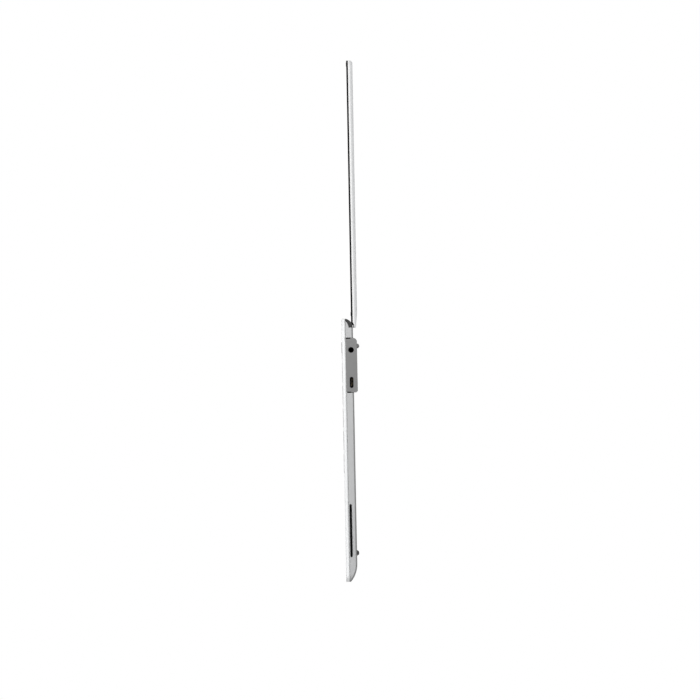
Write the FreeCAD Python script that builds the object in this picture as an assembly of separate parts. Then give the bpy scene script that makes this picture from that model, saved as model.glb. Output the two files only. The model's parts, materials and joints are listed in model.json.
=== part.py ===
import FreeCAD
import Part
import math
import os

# A slim laptop computer, opened flat so that its lid lies behind its base.
# It is modelled with the lid's hinge axis as the X axis, the rear towards +Y and the deck facing +Z,
# and is then tipped onto its feet, so that the floor is Z = 0 and the origin lies below the hinge axis.

# Driving dimensions in millimetres
WIDTH = 314.0
BASE_FRONT = 212.4          # from the hinge axis to the front end of the base
BASE_REAR = 2.2             # from the hinge axis to the rear end of the base
BASE_THICK = 9.2
DECK_Z = 3.65               # deck above the hinge axis
LID_THICK = 5.05
LID_GAP = 0.5               # between the deck and the closed lid
LID_TAIL = 5.5              # how far the lid reaches past the hinge axis, under the base
BLOCK_DROP = 3.1            # port block below the bottom cover

# Casing walls, seams and roundings
BAND_H = 2.9                # bright band round the top case
BAND_BEVEL = 0.9
DECK_T = 1.5
WALL = 2.0
SKIN = 1.1                  # bottom cover
SPINE_T = 2.5
CRESCENT_FORE = 0.4         # how far the spine's bare end is set in from its rear
CRESCENT_UP = 3.4           # and from its underside
SEAM = 0.35                 # groove below the bright band
REAR_R = 7.33
REAR_TOP_R = 1.5
FRONT_R = 22.0
FRONT_RUN = 14.5            # length of the rounded front underside
PLAN_R = 6.0

# Lid
LID_PLAN_R = 7.5
LID_BEZEL_T = 1.4
LID_FRAME_T = 1.3
LID_SKIN = 0.8
LID_RIM = 2.8               # side walls of the back cover
LID_POCKET_R = 5.0
LID_TAPER_RUN = 12.0
LID_TAPER = 1.15
TAIL_GAP = 0.42             # lid's hollowed tail to the rounded rear of the base
TAIL_SKIN = 0.8             # black lining of the hollowed tail
POCKET_REAR = 8.0           # from the hinge axis to the hollow of the back cover
GLASS_MARGIN = 6.0
GLASS_REAR = 12.0
GLASS_T = 0.55
GLASS_R = 3.0
PANEL_MARGIN = 8.5
PANEL_TOP_MARGIN = 9.5
PANEL_REAR = 26.0
PANEL_T = 1.6
PANEL_LEDGE = 5.0
BORDER = 0.05               # fitting gap round the glass and the panel
CAMERA_INSET = 3.2          # from the far edge of the lid
CAMERA_R = 1.5
CAMERA_W = 30.0
CAMERA_D = 3.2
MICROPHONE_X = 26.0
MICROPHONE_R = 1.5
MICROPHONE_T = 1.0
MICROPHONE_HOLE_R = 0.5
ANTENNA_X = 53.0            # from the side of the lid
ANTENNA_W = 42.0
ANTENNA_D = 5.0
BUMPER_R = 1.6
BUMPER_T = 0.3
BUMPER_INSET = 14.0
BUMPER_REAR = 6.0

# Hinges
HINGE_INSET = 52.0          # from the side to the middle of a hinge
HINGE_W = 44.0
SHAFT_R = 1.2
SHAFT_FIT = 0.05
SLEEVE_R = 1.55
SLEEVE_INSET = 1.5          # cover past each end of the sleeve
KNUCKLE_R = 2.9
KNUCKLE_GAP = 0.2
KNUCKLE_SPLIT = 6.1         # from the hinge's middle to the base's knuckle
NOTCH_GAP = 0.3
NOTCH_FRONT = 0.6           # from a knuckle to the notch's front wall
NECK_FRONT = 3.2            # of the cover's neck, from the hinge axis
ARM_NECK_Y = (-2.6, -1.2)
LEAF_T = 1.2
LEAF_CLEAR = 4.0            # from the hinge leaf to the keys
ARM_T = 0.75
ARM_REACH = 16.0            # of the arm's plate in the hollow of the lid

# Keyboard, touchpad and power button
KEY_UNITS = 14.5            # width of the keyboard in standard keys
KEY_MARGIN = 19.25          # from the side of the base to the keys
KEY_GAP = 3.2
KEY_CLEAR = 0.4
KEY_T = 1.5
KEY_PROUD = 0.15
KEY_TRAVEL = 1.2
KEY_R = 1.4
KEY_EDGE = 0.25
KEYBOARD_REAR = -21.0
FUNCTION_DEPTH = 11.5
ROW_DEPTH = 18.5
SPACE_START = 4.25          # in standard keys
SPACE_UNITS = 5.25
PLATE_T = 0.4
PLATE_CLEAR = 0.2           # below a pressed key
TRAY_MARGIN = 3.0
TRAY_RIM = 1.4
TRAY_CLEAR = 2.0
PAD_W = 106.0
PAD_GAP = 9.0               # from the keys to the touchpad
PAD_MARGIN = 12.4           # from the touchpad to the front end
PAD_T = 1.6
PAD_R = 2.5
PAD_CLEAR = 0.3
PAD_TRAVEL = 0.4
PAD_EDGE = 0.2
PAD_SHEET = 0.4
PAD_WING = 7.0
PAD_WING_W = 4.0
PAD_SHEET_INSET = 6.0
BUTTON_R = 4.55
BUTTON_INSET = 10.7
BUTTON_Y = -21.45
BUTTON_PROUD = 0.38
BUTTON_CLEAR = 0.3
BUTTON_SKIRT = 0.4
BUTTON_EDGE = 0.2

# Port blocks and their ports
BLOCK_Y = (-58.1, -13.65)
BLOCK_DEPTH = 24.0
BLOCK_WALL = 1.8
BLOCK_GAP = 0.3
BLOCK_STEP = 0.6            # how far the upper part of the block's ends is set back
BLOCK_STEP_Z = -3.2
BLOCK_REAR_R = 3.2
BLOCK_FRONT_R = 1.9
JACK_Y = -23.4
USB_Y = -49.9
CARD_Y = -27.4
PORT_Z = -3.75
JACK_R = 1.8
JACK_NOSE_R = 2.3
JACK_BODY_R = 3.0
JACK_LEN = 14.0
JACK_END = 1.0
USB_W = 9.0
USB_H = 3.05
USB_SHELL = 0.25
USB_LEN = 8.0
USB_BACK = 1.0
TONGUE_W = 6.6
TONGUE_T = 0.7
TONGUE_INSET = 0.8
CARD_W = 12.0
CARD_H = 1.6
CARD_SHELL = 0.4
CARD_LEN = 16.0

# Speakers
SLOT_INSET = 20.1           # from the front end of the base
SLOT_L = 43.2
SLOT_Z = -1.0
SLOT_H = 1.9
SLOT_BEVEL = 0.45
SPEAKER_W = 16.0
SPEAKER_MARGIN = 0.8
SPEAKER_DROP = 0.6          # below the deck's underside
SPEAKER_R = 1.0
DRIVER_R = 6.0
CONE_R = 3.0
DRIVER_DEEP = 0.8
THROAT = 3.0
MESH_T = 0.4
MESH_MARGIN = 0.6
MESH_HOLE_R = 0.4
MESH_PITCH = 1.6

# Inner parts
BOARD_T = 0.8
BOARD_LIFT = 2.85           # motherboard above the bottom cover
BOARD_LEFT = -4.0
BOARD_INSET = 26.0
BOARD_Y = (-112.0, -28.0)
BOARD_CLEAR = 4.0           # round the port block
STAND_R = 2.5
STAND_INSET = 6.0
CHIP_X = 31.0
CHIP_Y = -52.0
CHIP_W = 24.0
CHIP_D = 20.0
CHIP_T = 1.0
MEMORY_W = 10.0
MEMORY_D = 14.0
MEMORY_T = 0.9
MEMORY_PITCH = 13.0
MEMORY_INSET = 24.0
CARD_T = 1.2
CARD_CHIP_T = 1.0
SSD_L = 42.0
SSD_W = 22.0
SSD_GAP = 12.0              # between the two cards
RADIO_L = 28.0
RADIO_W = 22.0
RADIO_INSET = 36.0
CARDS_FRONT = 8.0           # from the board's front edge to the cards
PIPE_T = 1.6
PIPE_W = 6.0
PIPE_Y = -15.0
PIPE_BEND = 2.5
PIPE_PAST = 2.0
FIN_COUNT = 25
FIN_PITCH = 2.0
FIN_T = 0.4
FIN_H = 2.4
FIN_FRONT = 7.0
FIN_REAR = 8.0
FAN_R = 21.0
FAN_X = -36.0
FAN_Y = -50.0
FAN_H = 4.6
FAN_WALL = 3.0
FAN_FLOOR = 0.5
FAN_CLEAR = 0.4
FAN_AXLE_R = 1.0
FAN_AXLE_DROP = 1.3         # from the housing's top to the axle's end
FAN_CAP = 0.5
HUB_R = 7.0
BLADES = 17
BLADE_T = 0.6
BLADE_SLANT = 28.0          # degrees
INTAKE_PITCH = 6.0
INTAKE_W = 2.4
INTAKE_L = 26.0
INTAKE_R = 1.1
VENT_PITCH = 4.0
VENT_W = 2.0
VENT_Z = (-2.6, -0.4)
CELL_W = 54.0
CELL_GAP = 1.5
CELL_T = 3.8
CELL_R = 2.0
CELL_MARGIN = 21.9          # from the cells to the front end
CELL_REAR = 6.0             # from the keys to the cells
HOLDER_W = 4.0
HOLDER_D = 2.0
HOLDER_FIT = 0.2
HOLDER_DROP = 0.8
SCREW_R = 0.8
SCREW_HEAD_R = 1.9
SCREW_SUNK = 0.15
SCREW_L = 4.0
SCREW_RECESS_R = 0.9
SCREW_RECESS = 0.5
BOSS_R = 2.6
BOSS_CLEAR = 0.3
BOSS_INSET = 7.0
BOSS_SIDE_Y = (-138.0, -72.0)
BOSS_FRONT = 17.0           # from the front end
BOSS_FRONT_INSET = 61.0

# Feet
REAR_FOOT_Y = -20.3
REAR_FOOT_H = 1.8
REAR_FOOT_D = 3.8
REAR_FOOT_W = 16.0
REAR_FOOT_INSET = 4.0
FRONT_FOOT_INSET = 23.5     # from the front end
FRONT_FOOT_H = 1.7
FRONT_FOOT_D = 4.5
FRONT_FOOT_W = 46.0
FRONT_FOOT_SIDE = 19.0
FOOT_FLAT = 0.12            # worn off each foot where it meets the floor

# Heights and places that follow from the above
HALF_W = WIDTH / 2
BOTTOM_Z = DECK_Z - BASE_THICK
BAND_Z = DECK_Z - BAND_H
FLOOR_IN = BOTTOM_Z + SKIN
CEILING = DECK_Z - DECK_T
ARC_Y = BASE_REAR - REAR_R
ARC_Z = BOTTOM_Z + REAR_R
LID_FACE = -(DECK_Z + LID_GAP)
LID_BACK = LID_FACE - LID_THICK
BEZEL_Z = LID_FACE - LID_BEZEL_T
FRAME_Z = BEZEL_Z - LID_FRAME_T
LID_FLOOR = LID_BACK + LID_SKIN
GLASS_BACK = LID_FACE - GLASS_T
PANEL_BACK = GLASS_BACK - PANEL_T
BLOCK_Z = BOTTOM_Z - BLOCK_DROP
BLOCK_FLOOR = BLOCK_Z + BLOCK_WALL
FACE_IN = HALF_W - BLOCK_WALL
KEY_UNIT = (WIDTH - 2 * KEY_MARGIN) / KEY_UNITS
KEY_TOP = DECK_Z + KEY_PROUD
KEY_BOTTOM = KEY_TOP - KEY_T
PLATE_TOP = KEY_BOTTOM - KEY_TRAVEL - PLATE_CLEAR
PLATE_LOW = PLATE_TOP - PLATE_T
KEYBOARD_HALF = KEY_UNITS * KEY_UNIT / 2
KEYBOARD_FRONT = KEYBOARD_REAR - FUNCTION_DEPTH - 5 * ROW_DEPTH
PAD_X = (-PAD_W / 2, PAD_W / 2)
PAD_Y = (PAD_MARGIN - BASE_FRONT, KEYBOARD_FRONT - PAD_GAP)
BUTTON_X = HALF_W - BUTTON_INSET
BOARD_Z = FLOOR_IN + BOARD_LIFT
BOARD_X = (BOARD_LEFT, HALF_W - BOARD_INSET)
PIPE_Z = (BOARD_Z - CHIP_T - PIPE_T, BOARD_Z - CHIP_T)
CELL_PITCH = CELL_W + CELL_GAP
CELL_Y = (CELL_MARGIN - BASE_FRONT, KEYBOARD_FRONT - CELL_REAR)
SLOT_Y = (SLOT_INSET - BASE_FRONT, SLOT_INSET + SLOT_L - BASE_FRONT)
HINGE_X = HALF_W - HINGE_INSET
NOTCH_Y = -(KNUCKLE_R + NOTCH_FRONT)
KNUCKLE_X = (HINGE_X + KNUCKLE_SPLIT, HINGE_X + HINGE_W / 2)
COVER_X = (HINGE_X - HINGE_W / 2, HINGE_X + KNUCKLE_SPLIT - KNUCKLE_GAP)
SLEEVE_X = (COVER_X[0] + SLEEVE_INSET, COVER_X[1] - SLEEVE_INSET)
CAMERA_Y = BASE_FRONT - CAMERA_INSET
FRONT_FOOT_Y = FRONT_FOOT_INSET - BASE_FRONT
REAR_DROP = -BLOCK_Z + REAR_FOOT_H
FRONT_DROP = -BOTTOM_Z + FRONT_FOOT_H
TILT = math.atan((REAR_DROP - FRONT_DROP) / (REAR_FOOT_Y - FRONT_FOOT_Y))
AXIS_Z = REAR_DROP * math.cos(TILT) - REAR_FOOT_Y * math.sin(TILT)
BOSSES = [(side * (HALF_W - BOSS_INSET), y) for side in (-1, 1) for y in BOSS_SIDE_Y]
BOSSES += [(side * (HALF_W - BOSS_FRONT_INSET), BOSS_FRONT - BASE_FRONT) for side in (-1, 1)]
STAND_X = (BOARD_X[0] + STAND_INSET, BOARD_X[1] - STAND_INSET - BOARD_CLEAR)
STANDS = [(STAND_X[0], BOARD_Y[1] - STAND_INSET), (STAND_X[1], BLOCK_Y[0] - 2 * STAND_INSET),
          (STAND_X[0], BOARD_Y[0] + STAND_INSET), (STAND_X[1], BOARD_Y[0] + STAND_INSET)]
FAR = 400.0                 # beyond every piece, for cutting tools
EVERYWHERE = (-FAR, FAR)

V = FreeCAD.Vector
X_AXIS = V(1, 0, 0)
Z_AXIS = V(0, 0, 1)
ORIGIN = V(0, 0, 0)


def box(x, y, z):
    """Box between three (low, high) pairs."""
    return Part.makeBox(x[1] - x[0], y[1] - y[0], z[1] - z[0], V(x[0], y[0], z[0]))


def rod_x(x, y, z, radius):
    """Cylinder along X."""
    return Part.makeCylinder(radius, x[1] - x[0], V(x[0], y, z), X_AXIS)


def rod_z(x, y, z, radius):
    """Cylinder along Z."""
    return Part.makeCylinder(radius, z[1] - z[0], V(x, y, z[0]), Z_AXIS)


def upright_edges(solid):
    return [e for e in solid.Edges if abs(e.tangentAt(e.FirstParameter).z) > 0.9]


def slab(x, y, z, radius):
    """Box with its upright edges rounded."""
    solid = box(x, y, z)
    return solid.makeFillet(radius, upright_edges(solid))


def pill_x(x, y, z, width, height):
    """Bar along X whose section is a pill, wide along Y."""
    half = (width - height) / 2
    bar = box(x, (y - half, y + half), (z - height / 2, z + height / 2))
    ends = [rod_x(x, y + side * half, z, height / 2) for side in (-1, 1)]
    return bar.multiFuse(ends).removeSplitter()


def prism_x(outline, x):
    """Closed outline of edges in the YZ plane, extruded along X."""
    face = Part.Face(Part.Wire(outline))
    face.translate(V(x[0], 0, 0))
    return face.extrude(V(x[1] - x[0], 0, 0))


def prism_y(corners, y):
    """Closed polygon of (x, z) corners, extruded along Y."""
    points = [V(x, y[0], z) for x, z in corners + corners[:1]]
    return Part.Face(Part.makePolygon(points)).extrude(V(0, y[1] - y[0], 0))


def line(start, end):
    return Part.LineSegment(V(0, *start), V(0, *end)).toShape()


def arc(start, middle, end):
    return Part.Arc(V(0, *start), V(0, *middle), V(0, *end)).toShape()


def polygon(corners):
    """Closed outline of straight edges through (y, z) corners."""
    return [line(a, b) for a, b in zip(corners, corners[1:] + corners[:1])]


def on_circle(centre, radius, degrees):
    angle = math.radians(degrees)
    return (centre[0] + radius * math.cos(angle), centre[1] + radius * math.sin(angle))


def mirrored(shape):
    return shape.mirror(ORIGIN, X_AXIS)


def both(shape):
    """The shape and its mirror image, as a group."""
    return Part.makeCompound([shape, mirrored(shape)])


def group(shapes):
    return Part.makeCompound(list(shapes))


def span(middle, size):
    return (middle - size / 2, middle + size / 2)


def grown(pair, amount):
    return (pair[0] - amount, pair[1] + amount)


def topmost(shape):
    return max(shape.Faces, key=lambda face: face.CenterOfMass.z)


def base_profile(inset, x=(-HALF_W, HALF_W)):
    """Side outline of the base, moved inwards by inset except along the deck."""
    rear = (ARC_Y, ARC_Z)
    front = (FRONT_RUN - BASE_FRONT, BOTTOM_Z + FRONT_R)
    rear_r = REAR_R - inset
    front_r = FRONT_R - inset
    front_y = inset - BASE_FRONT
    tip_angle = 180 + math.degrees(math.acos((FRONT_RUN - inset) / front_r))
    tip = on_circle(front, front_r, tip_angle)
    outline = [
        line((front_y, DECK_Z), (BASE_REAR - inset, DECK_Z)),
        line((BASE_REAR - inset, DECK_Z), on_circle(rear, rear_r, 0)),
        arc(on_circle(rear, rear_r, 0), on_circle(rear, rear_r, -45), on_circle(rear, rear_r, -90)),
        line(on_circle(rear, rear_r, -90), on_circle(front, front_r, -90)),
        arc(on_circle(front, front_r, -90), on_circle(front, front_r, (tip_angle + 270) / 2), tip),
        line(tip, (front_y, DECK_Z)),
    ]
    return prism_x(outline, x)


def hinge_zone(margin, front):
    """Space of both hinges, widened by margin and open to the rear."""
    return both(box(span(HINGE_X, HINGE_W + 2 * margin), (front, FAR), EVERYWHERE))


def base_solid():
    """Outside of the whole base, without its port blocks."""
    plan = slab((-HALF_W, HALF_W), (-BASE_FRONT, BASE_REAR + PLAN_R), (BOTTOM_Z, DECK_Z), PLAN_R)
    solid = base_profile(0).common(plan)
    edge_y = BASE_REAR - REAR_TOP_R
    edge_z = DECK_Z - REAR_TOP_R
    corner = box((-HALF_W, HALF_W), (edge_y, BASE_REAR), (edge_z, DECK_Z))
    return solid.cut(corner.cut(rod_x((-HALF_W, HALF_W), edge_y, edge_z, REAR_TOP_R)))


def base_cavity():
    """Hollow of the base, kept away from the notches of the hinges."""
    inside = (-HALF_W + WALL, HALF_W - WALL)
    main = base_profile(SKIN, inside).common(
        box(inside, (SKIN + WALL - BASE_FRONT, ARC_Y), (FLOOR_IN, CEILING)))
    rear = base_profile(SPINE_T, inside).common(box(inside, (ARC_Y, BASE_REAR), (BOTTOM_Z, CEILING)))
    return main.fuse(rear.cut(hinge_zone(NOTCH_GAP + WALL, ARC_Y)))


def block_space():
    """Room for the right-hand port block."""
    return box((HALF_W - BLOCK_DEPTH - BLOCK_GAP, FAR), grown(BLOCK_Y, BLOCK_GAP), (-FAR, BAND_Z))


BASE = base_solid()
CAVITY = base_cavity()
NOTCHES = hinge_zone(NOTCH_GAP, NOTCH_Y)
LOWER = BASE.common(box(EVERYWHERE, EVERYWHERE, (-FAR, BAND_Z)))
REAR_SIDE = box(EVERYWHERE, (ARC_Y, FAR), EVERYWHERE)
BLOCK_SPACE = both(block_space())
# Ends of the base inside the rounded spine
REAR_ENDS = LOWER.common(REAR_SIDE).common(both(
    rod_x((HALF_W - WALL, HALF_W), ARC_Y - CRESCENT_FORE, ARC_Z + CRESCENT_UP, REAR_R)))
# Side outline that no hinge part leaves while the lid lies flat
HINGE_OUTLINE = rod_x(EVERYWHERE, ARC_Y, ARC_Z, REAR_R).fuse(box(EVERYWHERE, EVERYWHERE, (-FAR, LID_FACE)))


def key_cells(start, widths, rear, depth):
    """Outlines (x pair, y pair) of the keys in one row, with start and widths in standard keys."""
    cells = []
    left = (start - KEY_UNITS / 2) * KEY_UNIT
    for width in widths:
        right = left + width * KEY_UNIT
        cells.append((grown((left, right), -KEY_GAP / 2), grown((rear - depth, rear), -KEY_GAP / 2)))
        left = right
    return cells


def row_rear(number):
    return KEYBOARD_REAR - FUNCTION_DEPTH - number * ROW_DEPTH


def keyboard_rows():
    """Outlines of all keys by row, from the rear to the front."""
    last = row_rear(4)
    after_space = SPACE_START + SPACE_UNITS
    arrows = KEY_UNITS - 3
    return {
        "function_keys": key_cells(0, [KEY_UNITS / 14] * 14, KEYBOARD_REAR, FUNCTION_DEPTH),
        "number_keys": key_cells(0, [1] * 13 + [1.5], row_rear(0), ROW_DEPTH),
        "upper_keys": key_cells(0, [1.5] + [1] * 13, row_rear(1), ROW_DEPTH),
        "home_keys": key_cells(0, [1.75] + [1] * 11 + [1.75], row_rear(2), ROW_DEPTH),
        "lower_keys": key_cells(0, [2.25] + [1] * 10 + [2.25], row_rear(3), ROW_DEPTH),
        "bottom_keys": key_cells(0, [1.25, 1, 1, 1], last, ROW_DEPTH)
        + key_cells(after_space, [1, 1], last, ROW_DEPTH),
        "space_bar": key_cells(SPACE_START, [SPACE_UNITS], last, ROW_DEPTH),
        "arrow_keys": key_cells(arrows + 1, [1], last, ROW_DEPTH / 2)
        + key_cells(arrows, [1, 1, 1], last - ROW_DEPTH / 2, ROW_DEPTH / 2),
    }


KEY_ROWS = keyboard_rows()


def key_cap(x, y):
    """Flat key with a softened top edge."""
    cap = slab(x, y, (KEY_BOTTOM, KEY_TOP), KEY_R)
    return cap.makeChamfer(KEY_EDGE, topmost(cap).Edges)


def key_row(cells):
    return group(key_cap(x, y) for x, y in cells)


def top_case():
    """Deck with openings for keys, touchpad and button, a bevelled band and posts for the screws."""
    case = BASE.cut(LOWER).cut(CAVITY).cut(NOTCHES)
    deck = (CEILING, DECK_Z)
    openings = [slab(grown(x, KEY_CLEAR), grown(y, KEY_CLEAR), deck, KEY_R + KEY_CLEAR)
                for cells in KEY_ROWS.values() for x, y in cells]
    openings.append(slab(grown(PAD_X, PAD_CLEAR), grown(PAD_Y, PAD_CLEAR), deck, PAD_R + PAD_CLEAR))
    openings.append(rod_z(BUTTON_X, BUTTON_Y, deck, BUTTON_R + BUTTON_CLEAR))
    bevel = prism_y([(HALF_W - BAND_BEVEL, DECK_Z), (FAR, DECK_Z), (FAR, BAND_Z + SEAM),
                     (HALF_W, BAND_Z + SEAM)], EVERYWHERE)
    case = case.cut(group(openings)).cut(both(bevel))
    height = (FLOOR_IN, CEILING)
    posts = [rod_z(x, y, height, BOSS_R).cut(rod_z(x, y, height, SCREW_R)) for x, y in BOSSES]
    return case.multiFuse(posts)


def side_walls():
    """All silver walls below the bright band: the frame, and a corner behind each port block."""
    walls = LOWER.common(base_profile(SKIN, EVERYWHERE)).cut(CAVITY).cut(REAR_SIDE)
    walls = walls.multiFuse(REAR_ENDS.Solids).removeSplitter()
    seam = (BAND_Z - SEAM, BAND_Z)
    inner = slab((SEAM - HALF_W, HALF_W - SEAM), (SEAM - BASE_FRONT, FAR), seam, PLAN_R)
    groove = box(EVERYWHERE, EVERYWHERE, seam).cut(inner)
    outlet = pill_x((HALF_W - 2 * WALL, HALF_W), sum(SLOT_Y) / 2, SLOT_Z, SLOT_L, SLOT_H)
    edge = SLOT_Z - SLOT_H / 2
    bevel = prism_y([(HALF_W - SLOT_BEVEL, edge), (HALF_W, edge), (HALF_W, edge - SLOT_BEVEL)],
                    grown(SLOT_Y, -SLOT_H / 2))
    return walls.cut(groove).cut(BLOCK_SPACE).cut(both(outlet)).cut(both(bevel)).Solids


def side_frame():
    return max(side_walls(), key=lambda solid: solid.Volume)


def rear_corners():
    return group(sorted(side_walls(), key=lambda solid: solid.Volume)[:-1])


def intake_slots(z, length):
    return group(slab(span(FAN_X + INTAKE_PITCH * number, INTAKE_W), span(FAN_Y, length), z, INTAKE_R)
                 for number in range(-3, 4))


def bottom_cover():
    """Curved skin with the fan's intake, holes for the screws and stands for the motherboard."""
    skin = (BOTTOM_Z, FLOOR_IN)
    cover = LOWER.cut(base_profile(SKIN, EVERYWHERE)).cut(REAR_SIDE).cut(BLOCK_SPACE)
    heads = group(rod_z(x, y, skin, SCREW_HEAD_R) for x, y in BOSSES)
    cover = cover.cut(heads).cut(intake_slots(skin, INTAKE_L))
    return cover.multiFuse([rod_z(x, y, (FLOOR_IN, BOARD_Z), STAND_R) for x, y in STANDS])


def rear_spine():
    """Dark rounded rear of the base, with vents between the hinges and slots for the hinge leaves."""
    spine = LOWER.common(REAR_SIDE).cut(CAVITY).cut(NOTCHES).cut(REAR_ENDS)
    vents = group(box(span(FAN_X + VENT_PITCH * number, VENT_W), (ARC_Y, FAR), VENT_Z)
                  for number in range(-6, 7))
    return spine.cut(vents).cut(both(box(KNUCKLE_X, (ARC_Y, NOTCH_Y), span(0, LEAF_T))))


def lower_edge(solid, y):
    """Edges along X at the bottom of a port block, at one end."""
    return [e for e in solid.Edges if abs(e.CenterOfMass.y - y) < 0.01
            and abs(e.CenterOfMass.z - BLOCK_Z) < 0.01]


def port_block():
    """Right-hand block that carries the ports and stands below the bottom cover."""
    x = (HALF_W - BLOCK_DEPTH, HALF_W)
    block = box(x, BLOCK_Y, (BLOCK_Z, BAND_Z))
    block = block.makeFillet(BLOCK_REAR_R, lower_edge(block, BLOCK_Y[1]))
    block = block.makeFillet(BLOCK_FRONT_R, lower_edge(block, BLOCK_Y[0]))
    upper = (BLOCK_STEP_Z, BAND_Z)
    ends = box(x, BLOCK_Y, upper).cut(box(x, grown(BLOCK_Y, -BLOCK_STEP), upper))
    block = block.cut(ends)
    hollow = box((x[0] - 1, FACE_IN), grown(BLOCK_Y, -2 * BLOCK_WALL), (BLOCK_FLOOR, BAND_Z))
    tray = box((-FAR, KEYBOARD_HALF + TRAY_MARGIN + TRAY_CLEAR), EVERYWHERE, (PLATE_LOW - PLATE_CLEAR, FAR))
    return block.cut(hollow).cut(tray)


def port_block_right():
    jack_hole = rod_x((FACE_IN, HALF_W), JACK_Y, PORT_Z, JACK_NOSE_R)
    usb_hole = pill_x((FACE_IN, HALF_W), USB_Y, PORT_Z, USB_W, USB_H)
    return port_block().cut(jack_hole).cut(usb_hole)


def port_block_left():
    card_hole = box((FACE_IN, HALF_W), span(CARD_Y, CARD_W), span(PORT_Z, CARD_H))
    usb_hole = pill_x((FACE_IN, HALF_W), USB_Y, PORT_Z, USB_W, USB_H)
    return mirrored(port_block().cut(card_hole).cut(usb_hole))


def audio_jack():
    """Socket with a round nose in the block's face and a square body that stands in the block."""
    back = HALF_W - JACK_LEN
    body = box((back, FACE_IN), span(JACK_Y, 2 * JACK_BODY_R), (BLOCK_FLOOR, PORT_Z + JACK_BODY_R))
    nose = rod_x((FACE_IN, HALF_W), JACK_Y, PORT_Z, JACK_NOSE_R)
    return body.fuse(nose).cut(rod_x((back + JACK_END, HALF_W), JACK_Y, PORT_Z, JACK_R))


def usb_port():
    """Metal sleeve with a tongue and a mounting foot that stands in the block."""
    back = HALF_W - USB_LEN
    sleeve = pill_x((back, HALF_W), USB_Y, PORT_Z, USB_W, USB_H)
    opening = pill_x((back + USB_BACK, HALF_W), USB_Y, PORT_Z, USB_W - 2 * USB_SHELL, USB_H - 2 * USB_SHELL)
    tongue = box((back, HALF_W - TONGUE_INSET), span(USB_Y, TONGUE_W), span(PORT_Z, TONGUE_T))
    foot = box((back, FACE_IN), span(USB_Y, USB_W - USB_H), (BLOCK_FLOOR, PORT_Z - USB_H / 2))
    return sleeve.cut(opening).multiFuse([tongue, foot])


def card_reader():
    """Card reader on the left: a flat open-ended box on a foot."""
    x = (HALF_W - CARD_LEN, HALF_W)
    y = span(CARD_Y, CARD_W)
    reader = box(x, y, span(PORT_Z, CARD_H)).fuse(box((x[0], FACE_IN), y, (BLOCK_FLOOR, PORT_Z)))
    opening = box((x[0] + 1, HALF_W), grown(y, -CARD_SHELL), span(PORT_Z, CARD_H - 1.5 * CARD_SHELL))
    return mirrored(reader.cut(opening))


def speaker():
    """Right-hand speaker: a closed box against the side wall with a round driver in its top."""
    x = (HALF_W - WALL - SPEAKER_W, HALF_W - WALL - MESH_T)
    top = CEILING - SPEAKER_DROP
    middle = (sum(x) / 2, sum(SLOT_Y) / 2)
    case = slab(x, grown(SLOT_Y, SPEAKER_MARGIN), (FLOOR_IN, top), SPEAKER_R)
    well = rod_z(*middle, (top - DRIVER_DEEP, top), DRIVER_R)
    cone = rod_z(*middle, (top - DRIVER_DEEP, top), CONE_R)
    throat = box((x[1] - THROAT, x[1]), grown(SLOT_Y, -SLOT_H), span(SLOT_Z, SLOT_H))
    return case.cut(well.cut(cone)).cut(throat)


def speaker_meshes():
    """Pierced strips behind the speaker slots."""
    x = (HALF_W - WALL - MESH_T, HALF_W - WALL)
    strip = box(x, grown(SLOT_Y, MESH_MARGIN), span(SLOT_Z, SLOT_H + 2 * MESH_MARGIN))
    count = int((SLOT_L - SLOT_H) / MESH_PITCH)
    holes = [rod_x(x, SLOT_Y[0] + SLOT_H / 2 + MESH_PITCH * (number + 0.5), SLOT_Z, MESH_HOLE_R)
             for number in range(count)]
    return both(strip.cut(group(holes)))


def keyboard_plate():
    """Tray below the keys, hung from the deck by its rim."""
    x = span(0, 2 * (KEYBOARD_HALF + TRAY_MARGIN))
    y = (KEYBOARD_FRONT - TRAY_CLEAR, KEYBOARD_REAR + TRAY_CLEAR)
    tray = box(x, y, (PLATE_LOW, CEILING))
    return tray.cut(box(grown(x, -TRAY_RIM), grown(y, -TRAY_RIM), (PLATE_TOP, CEILING)))


def touchpad():
    pad = slab(PAD_X, PAD_Y, (DECK_Z - PAD_T, DECK_Z), PAD_R)
    return pad.makeChamfer(PAD_EDGE, topmost(pad).Edges)


def touchpad_frame():
    """Sheet below the touchpad with wings that reach the underside of the deck."""
    x = grown(PAD_X, PAD_WING)
    y = grown(PAD_Y, -PAD_SHEET_INSET)
    low = DECK_Z - PAD_T - PAD_TRAVEL - PAD_CLEAR
    sheet = box(x, y, (low - PAD_SHEET, low))
    return sheet.multiFuse(both(box((x[1] - PAD_WING_W, x[1]), y, (low, CEILING))).Solids)


def power_button():
    cap = rod_z(BUTTON_X, BUTTON_Y, (CEILING - BUTTON_SKIRT, DECK_Z + BUTTON_PROUD), BUTTON_R)
    return cap.makeFillet(BUTTON_EDGE, topmost(cap).Edges)


def motherboard():
    board = box(BOARD_X, BOARD_Y, (BOARD_Z, BOARD_Z + BOARD_T))
    ports = box((HALF_W - BLOCK_DEPTH - BOARD_CLEAR, FAR), (BLOCK_Y[0] - BOARD_CLEAR, FAR), EVERYWHERE)
    return board.cut(ports)


def processor():
    return box(span(CHIP_X, CHIP_W), span(CHIP_Y, CHIP_D), (BOARD_Z - CHIP_T, BOARD_Z))


def memory_chips():
    z = (BOARD_Z + BOARD_T, BOARD_Z + BOARD_T + MEMORY_T)
    last = BOARD_X[1] - MEMORY_INSET
    return group(box(span(last - MEMORY_PITCH * number, MEMORY_W), span(CHIP_Y, MEMORY_D), z)
                 for number in range(4))


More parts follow.
